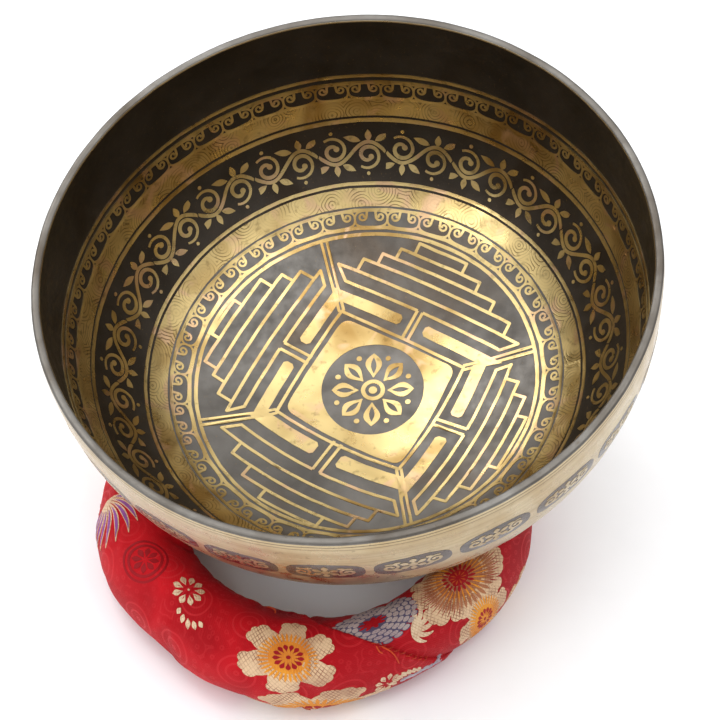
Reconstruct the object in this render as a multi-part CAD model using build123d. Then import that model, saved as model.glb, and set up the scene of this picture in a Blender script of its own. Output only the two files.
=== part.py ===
from build123d import *
import math
import os

# Singing bowl on its stuffed ring cushion. Millimetres and degrees, +Z up.
# The solids are first built around the middle of the cushion's ring, on the surface that it stands on.
# The last step moves the whole set, so that the origin is at the middle of its footprint box.

# Bowl: a thin hammered shell, round about its own axis. Its inside is three tangent arcs.
# Its outside is moved out by the wall's thickness, and the last arc is flatter, so that the wall thickens upwards.
bowl_depth = 109.5
floor_radius = 215.6
shoulder_radius = 65.6
wall_radius = 95.3
floor_angle = 20.2
shoulder_angle = 54.6
wall_thickness = 1.6
outer_wall_radius = 101.2
lip_fillet = 1.7

# How the bowl lies on the cushion: its axis leans from upright, and its rim's middle is off the ring's middle.
bowl_tilt = 14.8
lean_direction = -117.7
rim_centre = (7.1, 30.6, 144.8)

# Cushion: a stuffed tube of cloth bent into a ring, a little taller than wide and pressed flat underneath.
ring_radius = 76.5
tube_half_width = 17.6
tube_half_height = 20.3
tube_centre_height = 19.3
cloth_thickness = 0.8
bowl_clearance = 0.35

# The tube's lapped end: one end of the cloth is folded under and drawn over the other, on a slant.
lap_inner_end = (-0.9, -61.6)
lap_outer_end = (47.5, -80.4)
lap_width = 22.0
lap_thickness = 0.9

# Sewing thread.
thread_diameter = 0.6
join_stitch_count = 11
join_stitch_length = 4.0
join_stitch_span = (0.30, 0.96)
seam_stitch_count = 72
seam_stitch_length = 3.6
seam_angle = 205.0


def arc_centres():
    """Centres of the three arcs, in the plane of the radius and the bowl's axis, with the rim at height 0."""
    floor = Vector(0, floor_radius - bowl_depth)
    shoulder = floor + along(floor_angle) * (floor_radius - shoulder_radius)
    wall = shoulder + along(shoulder_angle) * (shoulder_radius - wall_radius)
    return floor, shoulder, wall


def along(angle):
    """Unit vector that starts straight down and turns outwards by angle."""
    return Vector(math.sin(math.radians(angle)), -math.cos(math.radians(angle)))


def bowl_curve(offset, end_angle):
    """The inside's curve from the axis outwards, moved out by offset."""
    floor, shoulder, wall = arc_centres()
    return [
        CenterArc(floor, floor_radius + offset, -90, floor_angle),
        CenterArc(shoulder, shoulder_radius + offset, floor_angle - 90, shoulder_angle - floor_angle),
        CenterArc(wall, wall_radius + offset, shoulder_angle - 90, end_angle - shoulder_angle),
    ]


def outside_curve(offset):
    """The outside's curve from the axis to the widest place, moved out by offset."""
    floor, shoulder, _ = bowl_curve(wall_thickness + offset, 90)
    centre = arc_centres()[1] + along(shoulder_angle) * (shoulder_radius + wall_thickness - outer_wall_radius)
    return [floor, shoulder, CenterArc(centre, outer_wall_radius + offset, shoulder_angle - 90, 90 - shoulder_angle)]


def revolved(edges):
    return revolve(Plane.XZ * make_face(edges), Axis.Z)


def bowl_place():
    """The plane of the bowl's rim, with its normal along the bowl's axis."""
    tilt, lean = math.radians(bowl_tilt), math.radians(lean_direction)
    axis = Vector(math.sin(tilt) * math.cos(lean), math.sin(tilt) * math.sin(lean), math.cos(tilt))
    return Plane(origin=rim_centre, x_dir=(1, 0, 0), z_dir=axis)


def bowl_shell():
    """The shell in its own frame: arcs outside up to the widest place, then a plain upright band to the lip."""
    wall = arc_centres()[2]
    rim_angle = 90 + math.degrees(math.asin(-wall.Y / wall_radius))
    outer = outside_curve(0)
    inner = bowl_curve(0, rim_angle)
    outer_rim = Vector(outer[-1].position_at(1).X, 0)
    edges = outer + [
        Line(outer[-1].position_at(1), outer_rim),
        Line(outer_rim, inner[-1].position_at(1)),
        Line(inner[0].position_at(0), outer[0].position_at(0)),
    ] + inner
    shell = revolved(edges)
    lip_edges = shell.edges().filter_by(GeomType.CIRCLE).sort_by(Axis.Z)[-2:]
    return fillet(lip_edges, lip_fillet)


def bowl_block(offset):
    """The bowl's outside as one filled body, grown by offset, in place on the cushion."""
    outer = outside_curve(offset)
    top = Vector(0, outer[-1].position_at(1).Y)
    edges = outer + [Line(outer[-1].position_at(1), top), Line(top, outer[0].position_at(0))]
    return bowl_place() * revolved(edges)


def tube(growth, floor):
    """The cushion's ring, with its section grown all round by growth and cut off level at floor."""
    section = Pos(ring_radius, tube_centre_height) * Ellipse(tube_half_width + growth, tube_half_height + growth)
    height = tube_centre_height + tube_half_height + growth - floor
    window = Pos(ring_radius, floor + height / 2) * Rectangle(4 * tube_half_width, height)
    return revolve(Plane.XZ * (section & window), Axis.Z)


def cushion_stuffing():
    """The padding that fills the cloth tube, dented where the bowl presses on it."""
    return tube(-cloth_thickness, cloth_thickness) - bowl_block(bowl_clearance + cloth_thickness)


def cushion_cover(stuffing):
    """The cloth tube around the padding, following the same dent."""
    return tube(0, 0) - bowl_block(bowl_clearance) - stuffing


def lap_directions():
    """Unit vectors in plan: along the lapped edge outwards, and square to it away from the lapped side."""
    run = Vector(lap_outer_end) - Vector(lap_inner_end)
    edge = run.normalized()
    return edge, Vector(-edge.Y, edge.X)


def cover_lapped_end():
    """The folded end of the cloth, drawn like a short sleeve over the tube's other end."""
    edge, across = lap_directions()
    middle = (Vector(lap_inner_end) + Vector(lap_outer_end)) / 2 - across * (lap_width / 2)
    height = 2 * tube_half_height + 4
    slab_place = Plane(origin=(middle.X, middle.Y, height / 2), x_dir=edge, z_dir=(0, 0, 1))
    slab = slab_place * Box(5 * tube_half_width, lap_width, height)
    return (tube(lap_thickness, 0) - tube(0, 0)) & slab


def top_of_tube(x, y, growth):
    """Height of the tube's upper surface over a point in plan."""
    offset = (math.hypot(x, y) - ring_radius) / (tube_half_width + growth)
    return tube_centre_height + (tube_half_height + growth) * math.sqrt(1 - offset**2)


def thread(start, end):
    """One straight stitch with round ends."""
    run = Vector(end) - Vector(start)
    radius = thread_diameter / 2
    body = Plane(origin=Vector(start) + run / 2, z_dir=run) * Cylinder(radius, run.length)
    return body + Pos(*start) * Sphere(radius) + Pos(*end) * Sphere(radius)


def join_stitches():
    """Whip stitches over the lapped edge, from the top of the tube down its outer side."""
    edge, across = lap_directions()
    start, run = Vector(lap_inner_end), Vector(lap_outer_end) - Vector(lap_inner_end)
    first, last = join_stitch_span
    stitches = []
    for i in range(join_stitch_count):
        place = start + run * (first + (last - first) * i / (join_stitch_count - 1))
        over = place - across * join_stitch_length / 2
        under = place + across * join_stitch_length / 2
        high = top_of_tube(over.X, over.Y, lap_thickness)
        low = top_of_tube(under.X, under.Y, 0)
        stitches.append(thread((over.X, over.Y, high), (under.X, under.Y, low)))
    return stitches


def seam_stitches():
    """Running stitches of the tube's lengthwise seam, low on the hole's side, half sunk in the cloth."""
    angle = math.radians(seam_angle)
    radius = ring_radius + tube_half_width * math.cos(angle)
    height = tube_centre_height + tube_half_height * math.sin(angle)
    half_turn = math.degrees(seam_stitch_length / radius) / 2
    stitches = []
    for i in range(seam_stitch_count):
        middle = 360 * i / seam_stitch_count
        ends = [math.radians(middle - half_turn), math.radians(middle + half_turn)]
        points = [(radius * math.cos(a), radius * math.sin(a), height) for a in ends]
        stitches.append(thread(*points))
    return stitches


def build():
    stuffing = cushion_stuffing()
    nodes = {
        "bowl_shell": [bowl_place() * bowl_shell()],
        "cushion_stuffing": [stuffing],
        "cushion_cover": [cushion_cover(stuffing)],
        "cover_lapped_end": [cover_lapped_end()],
        "join_stitches": join_stitches(),
        "seam_stitches": seam_stitches(),
    }
    whole = Compound(children=[part for parts in nodes.values() for part in parts]).bounding_box()
    footprint = (whole.min + whole.max) / 2
    shift = Pos(-footprint.X, -footprint.Y, 0)
    print("ring's middle is at", round(-footprint.X, 3), round(-footprint.Y, 3))
    return {name: [shift * part for part in parts] for name, parts in nodes.items()}


os.makedirs("parts", exist_ok=True)
for node, parts in build().items():
    solids = [solid for part in parts for solid in part.solids()]
    export_step(Compound(children=solids), f"parts/{node}.step")
    print(node, len(solids), "solids", round(sum(solid.volume for solid in solids), 1), "mm3")
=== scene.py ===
import math
import bpy
import numpy as np
from mathutils import Matrix, Vector, noise
from mathutils.geometry import delaunay_2d_cdt


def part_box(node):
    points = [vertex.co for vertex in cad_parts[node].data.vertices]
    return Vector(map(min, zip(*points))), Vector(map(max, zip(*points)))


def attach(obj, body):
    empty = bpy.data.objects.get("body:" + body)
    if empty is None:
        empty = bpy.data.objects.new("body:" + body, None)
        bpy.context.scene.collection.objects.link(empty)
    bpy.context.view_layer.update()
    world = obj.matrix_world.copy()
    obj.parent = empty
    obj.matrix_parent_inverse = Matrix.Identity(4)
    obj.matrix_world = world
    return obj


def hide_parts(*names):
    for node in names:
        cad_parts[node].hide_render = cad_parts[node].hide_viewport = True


# An etched brass singing bowl, leaning on a brocade ring cushion.
# Lengths are millimetres until a mesh is made, and lights are placed in metres. Angles are degrees,
# except theta. A place inside the bowl is (s, theta): the length along the wall from the middle, and the
# turn about the bowl's axis, in radians. A place on the cushion is (phi, psi): the turn about the ring's
# middle, and the angle round the tube, with 0 on the outer side, 90 on top and 180 on the hole's side.

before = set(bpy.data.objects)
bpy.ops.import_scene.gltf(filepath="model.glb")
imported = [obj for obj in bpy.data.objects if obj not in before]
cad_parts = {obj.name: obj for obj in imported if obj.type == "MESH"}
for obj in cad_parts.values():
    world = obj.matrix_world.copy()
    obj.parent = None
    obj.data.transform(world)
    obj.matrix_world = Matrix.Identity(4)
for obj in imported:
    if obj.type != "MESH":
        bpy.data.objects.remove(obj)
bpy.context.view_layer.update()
noise.seed_set(1)   # noise_vector differs from run to run without a fixed seed

MM = 0.001

# ---- the bowl's shape, the same as the CAD's
BOWL_DEPTH = 109.5
ARC_RADII = np.array((215.6, 65.6, 95.3))
ARC_ENDS = np.radians((20.2, 54.6))
BOWL_TILT, LEAN_DIRECTION = 14.8, -117.7
RIM_FROM_RING = (7.1, 30.6, 144.8)
WALL, OUTER_WALL_RADIUS = 1.6, 101.2
LIP_EXTRA, LIP_REACH, LIP_HEIGHT = 0.6, 14.0, 1.3
WALL_GROUND_START = 96.0
DENT_DEPTH, DENT_SIZE = 0.13, 13.0

# ---- the cushion's shape, the same as the CAD's
RING_RADIUS = 76.5
TUBE_HALF_WIDTH, TUBE_HALF_HEIGHT, TUBE_CENTRE = 17.6, 20.3, 19.3
PHI_STEPS, PSI_STEPS = 300, 64
PILLOW_CAP = 2.2
BOWL_GAP = 0.5

cover_low, cover_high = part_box("cushion_cover")
ring_middle = (np.array(cover_low) + np.array(cover_high)) / 2 / MM * (1, 1, 0)
rim_centre = ring_middle + RIM_FROM_RING


# ======== bowl geometry
def bowl_axes():
    """The bowl's own x, y and axis as the rows of a matrix."""
    tilt, lean = math.radians(BOWL_TILT), math.radians(LEAN_DIRECTION)
    axis = np.array((math.sin(tilt) * math.cos(lean), math.sin(tilt) * math.sin(lean), math.cos(tilt)))
    x = np.array((1.0, 0, 0)) - axis[0] * axis
    x /= np.linalg.norm(x)
    return np.array((x, np.cross(axis, x), axis))


BOWL_AXES = bowl_axes()


def arc_centres():
    """Centre of each of the inside's three arcs as (radius from the axis, height over the rim's plane)."""
    centres = [np.array((0.0, ARC_RADII[0] - BOWL_DEPTH))]
    for i, angle in enumerate(ARC_ENDS):
        step = ARC_RADII[i] - ARC_RADII[i + 1]
        centres.append(centres[-1] + step * np.array((math.sin(angle), -math.cos(angle))))
    return np.array(centres)


CENTRES = arc_centres()
RIM_ANGLE = math.pi / 2 + math.asin(-CENTRES[2][1] / ARC_RADII[2])
ARC_STARTS = np.array((0.0, *ARC_ENDS))
LENGTHS = np.cumsum(ARC_RADII * np.diff((*ARC_STARTS, RIM_ANGLE)))
S_RIM = LENGTHS[-1]

OUTER_RADII = np.array((*(ARC_RADII[:2] + WALL), OUTER_WALL_RADIUS))
OUTER_CENTRES = CENTRES.copy()
OUTER_CENTRES[2] = CENTRES[1] + (OUTER_RADII[1] - OUTER_WALL_RADIUS) * np.array(
    (math.sin(ARC_ENDS[1]), -math.cos(ARC_ENDS[1])))


def section(s, out):
    """(radius, height) at length s along the inside, moved out from it by out."""
    s = np.asarray(s, float)
    i = np.searchsorted(LENGTHS[:2], s, side="right")
    angle = ARC_STARTS[i] + (s - np.concatenate(([0.0], LENGTHS[:2]))[i]) / ARC_RADII[i]
    r = ARC_RADII[i] + out
    return CENTRES[i][..., 0] + r * np.sin(angle), CENTRES[i][..., 1] - r * np.cos(angle)


def radius_at(s):
    return float(section(s, 0.0)[0])


def dents(points):
    """How far the hammering moves the metal out at each point."""
    size = DENT_SIZE
    return np.array([
        DENT_DEPTH * (noise.noise(Vector(p) / size) + 0.5 * noise.noise(Vector(p) / (0.45 * size)))
        for p in points
    ])


def bowl_points(s, theta, out):
    """Points in the row frame. out is 0 on the inside and grows through the wall."""
    s, theta, out = np.broadcast_arrays(*(np.asarray(v, float) for v in (s, theta, out)))
    r, h = section(s, 0.0)
    flat = np.stack((r * np.cos(theta), r * np.sin(theta), h), -1).reshape(-1, 3)
    moved = out + dents(flat).reshape(out.shape)
    r, h = section(s, moved)
    local = np.stack((r * np.cos(theta), r * np.sin(theta), h), -1)
    return rim_centre + local @ BOWL_AXES


def wall_at(s):
    """Wall thickness, which grows up the wall and again towards the lip."""
    s = np.asarray(s, float)
    angle = np.maximum(s - LENGTHS[1], 0) / ARC_RADII[2]
    growth = OUTER_WALL_RADIUS - ARC_RADII[2] - WALL
    t = np.clip((s - (S_RIM - LIP_REACH)) / (LIP_REACH - 2), 0, 1)
    return WALL + growth * (1 - np.cos(angle)) + LIP_EXTRA * t * t * (3 - 2 * t)


# ======== meshes
def in_scene(name, data):
    """A new object with that data, in the scene."""
    made = bpy.data.objects.new(name, data)
    bpy.context.scene.collection.objects.link(made)
    return made


def new_object(name, points, faces, materials, body, uv=None, flat_edges=None, indices=None):
    """A mesh object from points in millimetres, riding on a CAD body."""
    mesh = bpy.data.meshes.new(name)
    mesh.from_pydata((np.asarray(points) * MM).tolist(), [], [tuple(int(i) for i in f) for f in faces])
    for material in materials:
        mesh.materials.append(material)
    if indices is not None:
        mesh.polygons.foreach_set("material_index", indices)
    if uv is not None:
        corners = np.zeros(len(mesh.loops), np.int32)
        mesh.loops.foreach_get("vertex_index", corners)
        layer = mesh.uv_layers.new(name="flat")
        layer.data.foreach_set("uv", np.asarray(uv, np.float32)[corners].ravel())
    mesh.polygons.foreach_set("use_smooth", [True] * len(mesh.polygons))
    if flat_edges:
        mesh.set_sharp_from_angle(angle=math.radians(flat_edges))
    mesh.update()
    made = in_scene(name, mesh)
    if body:
        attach(made, body)
    return made


def tube_faces(rings, across, start=0):
    """Faces of a tube of rings with across points each, closed at both ends."""
    faces = []
    for i in range(rings - 1):
        a, b = start + i * across, start + (i + 1) * across
        for j in range(across):
            k = (j + 1) % across
            faces.append((a + j, a + k, b + k, b + j))
    first, last = start + np.arange(across), start + (rings - 1) * across + np.arange(across)
    return [*faces, first[::-1], last]


def turned_left(loop):
    """The loop with its points anticlockwise."""
    p = np.asarray(loop, float)
    area = np.sum(p[:, 0] * np.roll(p[:, 1], -1) - np.roll(p[:, 0], -1) * p[:, 1])
    return p if area > 0 else p[::-1]


def paint(layers, spacing):
    """Triangles of what is left after the layers are painted in order.

    Each layer is (True to add or False to take away, loops of flat points)."""
    loops = [turned_left(shape) for _, shapes in layers for shape in shapes]
    keeps = [keep for keep, shapes in layers for _ in shapes]
    levels = [level for level, (_, shapes) in enumerate(layers) for _ in shapes]
    points = np.concatenate(loops)
    starts = np.cumsum([0] + [len(loop) for loop in loops])
    faces = [list(range(a, b)) for a, b in zip(starts[:-1], starts[1:])]
    low, high = points.min(0), points.max(0)
    counts = np.maximum(2, np.ceil((high - low) / spacing).astype(int))
    inner = [low + (high - low) * ((i + 0.5) / counts[0], (j + 0.5) / counts[1])
             for i in range(counts[0]) for j in range(counts[1])]
    rim = [low + (high - low) * (side, j / counts[1]) for side in (0, 1) for j in range(1, counts[1])]
    coords = [Vector(p) for p in (*points, *inner, *rim)]
    verts, _, tris, _, _, sources = delaunay_2d_cdt(coords, [], faces, 0, 1e-4, True)
    kept = [tri for tri, source in zip(tris, sources)
            if source and keeps[max(source, key=lambda f: levels[f])]]
    used, kept = np.unique(np.array(kept, int), return_inverse=True)
    return np.array([verts[i] for i in used])[:, :2], kept.reshape(-1, 3)


def in_a_row(flat, tris, pitch, count):
    """count copies of a painted unit, side by side along x, from x = 0."""
    shifts = np.arange(count) * pitch
    points = np.concatenate([flat + (shift, 0) for shift in shifts])
    faces = np.concatenate([tris + i * len(flat) for i in range(count)])
    return points, faces


def plate(name, flat, tris, place, low, high, material, body, ring=None):
    """A thin solid: the painted triangles between heights low and high.

    place(flat, height) gives its points. ring is the x length after which the pattern meets itself."""
    keys = flat.copy()
    if ring:
        keys[:, 0] = np.mod(keys[:, 0] + 1e-4, ring)
    keys = np.round(keys, 2)
    _, first, join = np.unique(keys, axis=0, return_index=True, return_inverse=True)
    flat, corners = flat[first], join.ravel()[tris]
    corners = corners[[len(set(t)) == 3 for t in corners.tolist()]]
    edges = np.concatenate((corners[:, [0, 1]], corners[:, [1, 2]], corners[:, [2, 0]]))
    back = {(b, a) for a, b in edges.tolist()}
    border = [(a, b) for a, b in edges.tolist() if (a, b) not in back]
    count = len(flat)
    top, bottom = place(flat, high), place(flat, low)
    faces = [*corners.tolist(), *(corners[:, ::-1] + count).tolist()]
    faces += [(b, a, a + count, b + count) for a, b in border]
    return new_object(name, np.concatenate((top, bottom)), faces, [material], body,
                      uv=np.concatenate((flat, flat)), flat_edges=40)


# ======== flat shapes
def points_on_arc(centre, radius, start, end, count):
    """Points on an arc, angles in degrees. radius may be (first, last), as on a spiral."""
    a = np.radians(np.linspace(start, end, count))
    r = np.linspace(*radius, count) if hasattr(radius, "__len__") else radius
    return np.stack((centre[0] + r * np.cos(a), centre[1] + r * np.sin(a)), -1)


def disc(centre, radius, count=14):
    return points_on_arc(centre, radius, 0, 360 - 360 / count, count)


def box(left, right, low, high):
    return np.array(((left, low), (right, low), (right, high), (left, high)), float)


def ribbon(line, width):
    """A loop round a smooth line. width may be a list of two or more, spread along it."""
    line = np.asarray(line, float)
    if hasattr(width, "__len__"):
        half = np.interp(np.linspace(0, 1, len(line)), np.linspace(0, 1, len(width)), width)[:, None] / 2
    else:
        half = width / 2
    along = np.gradient(line, axis=0)
    along /= np.linalg.norm(along, axis=1, keepdims=True)
    side = np.stack((-along[:, 1], along[:, 0]), -1) * half
    return np.concatenate((line + side, (line - side)[::-1]))


def stroke(line, width):
    """Loops that make a line with square joints and round corners."""
    line = np.asarray(line, float)
    loops = [ribbon((a, b), width) for a, b in zip(line[:-1], line[1:])]
    return loops + [disc(p, width / 2 * 0.98, 10) for p in line[1:-1]]


def petal(base, angle, length, width, fullness=0.6, count=9):
    """A leaf from base towards angle, widest at fullness of its length."""
    t = np.linspace(0, 1, count)
    bulge = np.sin(np.pi * t ** (math.log(0.5) / math.log(fullness)))
    side = np.stack((t * length, bulge * width / 2), -1)
    other = side[1:-1][::-1] * (1, -1)
    loop = np.concatenate((side, other))
    return turned([loop], angle, shift=base)[0]


def clipped(loop, pitch):
    """The loop cut off where it leaves its unit of a band."""
    return np.clip(loop, (0, -1e9), (pitch, 1e9))


def swollen_box(half_width, half_height, centre, power=3.2, count=28):
    """A rounded box whose sides all swell a little."""
    a = np.linspace(0, 2 * np.pi, count, endpoint=False)
    c, s = np.cos(a), np.sin(a)
    return np.stack((centre[0] + half_width * np.sign(c) * np.abs(c) ** (2 / power),
                     centre[1] + half_height * np.sign(s) * np.abs(s) ** (2 / power)), -1)


def turned(loops, angle, shift=(0, 0), stretch=(1, 1)):
    """The loops turned by angle, then stretched along x and y, then moved by shift."""
    a = math.radians(angle)
    spin = np.array(((math.cos(a), math.sin(a)), (-math.sin(a), math.cos(a))))
    return [loop @ spin * stretch + shift for loop in loops]


def on_ring(radius, angle):
    """The point at that radius and angle."""
    return points_on_arc((0, 0), radius, angle, angle, 1)[0]


def rays(count, inner, outer, width, turn=0.0, fullness=0.6):
    """Narrow petals all round, from radius inner to radius outer."""
    angles = turn + 360 / count * np.arange(count)
    return [petal(on_ring(inner, a), a, outer - inner, width, fullness) for a in angles]


# ======== materials
class Value:
    """A node's output. Arithmetic with it adds math nodes."""

    def __init__(self, graph, socket):
        self.graph, self.socket = graph, socket

    def __add__(self, other):
        return self.graph.math("ADD", self, other)

    def __sub__(self, other):
        return self.graph.math("SUBTRACT", self, other)

    def __rsub__(self, other):
        return self.graph.math("SUBTRACT", other, self)

    def __mul__(self, other):
        return self.graph.math("MULTIPLY", self, other)

    def __truediv__(self, other):
        return self.graph.math("DIVIDE", self, other)


class Graph:
    """The nodes of a material or a world, with a short name for each step."""

    def __init__(self, tree):
        self.nodes, self.links = tree.nodes, tree.links

    def node(self, kind, **settings):
        """A new node. Each setting is one of its properties or one of its sockets."""
        made = self.nodes.new(kind)
        for key, value in settings.items():
            if hasattr(made, key):
                setattr(made, key, value)
            else:
                made.inputs[key].default_value = value
        return made

    def put(self, value, socket):
        """A node's output, a colour or a number into a socket."""
        if isinstance(value, Value):
            self.links.new(value.socket, socket)
        elif hasattr(value, "is_linked"):
            self.links.new(value, socket)
        else:
            socket.default_value = (*value, 1) if hasattr(value, "__len__") else value

    def ramp(self, source, stops):
        """A colour ramp over a value. Each stop is (place, colour or grey)."""
        made = self.nodes.new("ShaderNodeValToRGB")
        while len(made.color_ramp.elements) < len(stops):
            made.color_ramp.elements.new(0.5)
        for element, (place, value) in zip(made.color_ramp.elements, stops):
            element.position = place
            element.color = (*value, 1) if hasattr(value, "__len__") else (value, value, value, 1)
        self.put(source, made.inputs[0])
        return Value(self, made.outputs["Color"])

    def noise(self, scale, detail=3.0, vector=None, distortion=0.0):
        """Noise over object space in metres, or over vector."""
        made = self.node("ShaderNodeTexNoise", Scale=scale, Detail=detail, Distortion=distortion)
        if vector is None:
            vector = self.nodes.new("ShaderNodeTexCoord").outputs["Object"]
        self.put(vector, made.inputs["Vector"])
        return Value(self, made.outputs["Fac"])

    def spots(self, scale, detail, *stops, **settings):
        """Noise through a ramp."""
        return self.ramp(self.noise(scale, detail, **settings), stops)

    def mix(self, factor, a, b):
        """Colour a turned into colour b by factor."""
        made = self.node("ShaderNodeMix", data_type="RGBA", blend_type="MIX")
        for socket, value in zip((made.inputs[6], made.inputs[7], made.inputs[0]), (a, b, factor)):
            self.put(value, socket)
        return Value(self, made.outputs[2])

    def math(self, operation, a, b=0.0):
        made = self.node("ShaderNodeMath", operation=operation)
        self.put(a, made.inputs[0])
        self.put(b, made.inputs[1])
        return Value(self, made.outputs[0])

    def sine(self, a):
        return self.math("SINE", a)


class Shader(Graph):
    """A material with a principled shader."""

    def __init__(self, name, colour, roughness, metallic=0.0, **sockets):
        self.material = bpy.data.materials.new(name)
        self.material.use_nodes = True
        super().__init__(self.material.node_tree)
        self.inputs = self.nodes["Principled BSDF"].inputs
        self.put(colour, self.inputs["Base Color"])
        self.put(roughness, self.inputs["Roughness"])
        self.put(metallic, self.inputs["Metallic"])
        for socket, value in sockets.items():
            self.put(value, self.inputs[socket.replace("_", " ")])

    def flat_place(self):
        """The place on the flat pattern, in millimetres: the vector, its x and its y."""
        vector = self.node("ShaderNodeUVMap", uv_map="flat").outputs[0]
        split = self.node("ShaderNodeSeparateXYZ")
        self.put(vector, split.inputs[0])
        return vector, Value(self, split.outputs["X"]), Value(self, split.outputs["Y"])

    def cells(self, vector, size, randomness):
        """The distance from the middle of the nearest cell, in cells."""
        made = self.node("ShaderNodeTexVoronoi", voronoi_dimensions="2D", Scale=1 / size,
                         Randomness=randomness)
        self.put(vector, made.inputs["Vector"])
        return Value(self, made.outputs["Distance"])

    def finished(self, colour, roughness, height, strength, distance):
        """The material, with its colour, roughness and bumps put in."""
        self.put(colour, self.inputs["Base Color"])
        self.put(roughness, self.inputs["Roughness"])
        bump = self.node("ShaderNodeBump", Strength=strength, Distance=distance)
        self.put(height, bump.inputs["Height"])
        self.put(bump.outputs[0], self.inputs["Normal"])
        return self.material


def gold_material(name, engraved=False):
    """Polished brass with amber patches, partly its own tone and partly painted reflection of the rim, fine
    scratches and, if engraved, rings of cut lines.
    """
    shader = Shader(name, GOLD_PALE, 0.3, metallic=1.0)
    # Amber patches: partly the brass's own tone, partly painted reflection of the rim.
    amber_and_reflections = shader.spots(25, 2.5, (0.46, 0), (0.66, 1), distortion=0.6)
    colour = shader.mix(amber_and_reflections, GOLD_PALE, GOLD_AMBER)
    rose = shader.spots(55, 2, (0.54, 0), (0.66, 0.85), distortion=1.2)
    colour = shader.mix(rose, colour, GOLD_ROSE)
    grime = shader.spots(310, 4, (0.30, 1), (0.42, 0))
    colour = shader.mix(grime * 0.35, colour, GOLD_GRIME)
    height = fine = shader.noise(1500, 5)
    if engraved:
        flat = shader.flat_place()[0]
        wander = shader.noise(0.12, 1.0, vector=flat)
        turns = shader.cells(flat, ENGRAVED_CELL, 0.85) * (ENGRAVED_CELL / ENGRAVED_PITCH) + wander * 2.0
        lines = shader.ramp(shader.sine(turns * (2 * math.pi)), ((0.50, 0), (0.82, 1)))
        lines = lines * shader.spots(75, 1, (0.40, 0.12), (0.60, 1))
        colour = shader.mix(lines * 0.68, colour, GOLD_GRIME)
        height = fine * 0.25 - lines
    rough = shader.spots(130, 5, (0.3, 0.24), (0.7, 0.42))
    return shader.finished(colour, rough, height, 0.35, BUMP)


def patina_material(name, light, dark, rough=(0.36, 0.56)):
    """Etched dark metal: cloudy, a little rough, browner in places and with worn spots."""
    shader = Shader(name, light, 0.45, metallic=0.85)
    cloud = shader.spots(30, 5, (0.35, 0), (0.68, 1), distortion=0.4)
    colour = shader.mix(cloud, dark, light)
    brown = shader.spots(16, 4, (0.50, 0), (0.66, 0.75), distortion=0.8)
    colour = shader.mix(brown, colour, tuple(a * b for a, b in zip(dark, (1.0, 0.82, 0.66))))
    specks = shader.spots(900, 3, (0.66, 0), (0.74, 1))
    colour = shader.mix(specks * 0.25, colour, GOLD_AMBER)
    roughness = shader.spots(210, 5, (0.3, rough[0]), (0.7, rough[1]))
    return shader.finished(colour, roughness, shader.noise(1100, 5), 0.4, BUMP)


def along_axis(shader, across, up):
    """Object space along the bowl's axes, scaled across and up, and the height over the rim in metres."""
    place = shader.nodes.new("ShaderNodeTexCoord").outputs["Object"]
    joined = shader.nodes.new("ShaderNodeCombineXYZ")
    for i, (axis, scale) in enumerate(zip(BOWL_AXES, (across, across, up))):
        dot = shader.node("ShaderNodeVectorMath", operation="DOT_PRODUCT")
        shader.put(place, dot.inputs[0])
        dot.inputs[1].default_value = tuple(axis)
        along = Value(shader, dot.outputs["Value"])
        shader.put(along * scale, joined.inputs[i])
    return joined.outputs[0], along - float(rim_centre @ BOWL_AXES[2]) * MM


def worn_metal_material(name, colour, shade, roughness, streaked=False):
    """Bare metal with blotches, rubbed marks and grain and, if streaked, turning marks and two lines."""
    shader = Shader(name, colour, roughness, metallic=1.0)
    blotch = shader.spots(36, 4, (0.36, 0), (0.7, 1), distortion=0.5)
    mixed = shader.mix(blotch, colour, shade)
    if streaked:
        vector, height = along_axis(shader, 9, 620)
        streaks = shader.spots(1.0, 3, (0.42, 0), (0.72, 1), vector=vector)
        mixed = shader.mix(streaks * 0.45, mixed, STREAK_BROWN)
        cuts = shader.ramp(height * -100, CUT_LINES)
        mixed = shader.mix(cuts * 0.75, mixed, GOLD_GRIME)
    marks = shader.spots(420, 6, (0.62, 0), (0.78, 1))
    mixed = shader.mix(marks * 0.4, mixed, GOLD_GRIME)
    rough = shader.spots(160, 5, (0.3, roughness - 0.06), (0.7, roughness + 0.1))
    return shader.finished(mixed, rough, shader.noise(1300, 5), 0.3, BUMP)


GOLD_PALE, GOLD_AMBER, GOLD_ROSE = (0.62, 0.47, 0.21), (0.33, 0.205, 0.068), (0.60, 0.39, 0.23)
GOLD_GRIME, STREAK_BROWN = (0.07, 0.045, 0.02), (0.30, 0.20, 0.10)
ENGRAVED_CELL, ENGRAVED_PITCH = 13.0, 1.5
BUMP = 0.0001

# The two lines cut under the lip: how dark, at each centimetre under the rim.
CUT_LINES = ((0.18, 0), (0.20, 1), (0.23, 1), (0.25, 0), (0.38, 0), (0.40, 0.8), (0.42, 0.8), (0.44, 0))

gold = gold_material("brass_polished")
gold_engraved = gold_material("brass_engraved", engraved=True)
patina = patina_material("brass_etched_grey", (0.185, 0.174, 0.160), (0.105, 0.096, 0.086))
patina_wall = patina_material("brass_etched_brown", (0.064, 0.053, 0.043), (0.036, 0.029, 0.022))
lip_metal = worn_metal_material("lip_steel_grey", (0.20, 0.19, 0.175), (0.10, 0.085, 0.07), 0.46)
lip_edge = worn_metal_material("lip_worn_brass", (0.66, 0.56, 0.38), (0.40, 0.31, 0.19), 0.3)
outer_metal = worn_metal_material("brass_outside", (0.56, 0.46, 0.29), (0.46, 0.34, 0.18), 0.28, True)
outer_dark = patina_material("brass_outside_dark", (0.17, 0.165, 0.17), (0.085, 0.070, 0.062), (0.20, 0.34))


# ======== the bowl
# The shell's metals, in the order of its materials.
FLOOR_PATINA, LIP, OUTSIDE, WALL_PATINA, LIP_EDGE = range(5)

# The lip's half round is squared a little, and worn from the inside up to this angle in radians.
LIP_SQUARENESS, WORN_EDGE = 0.75, 0.75


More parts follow.
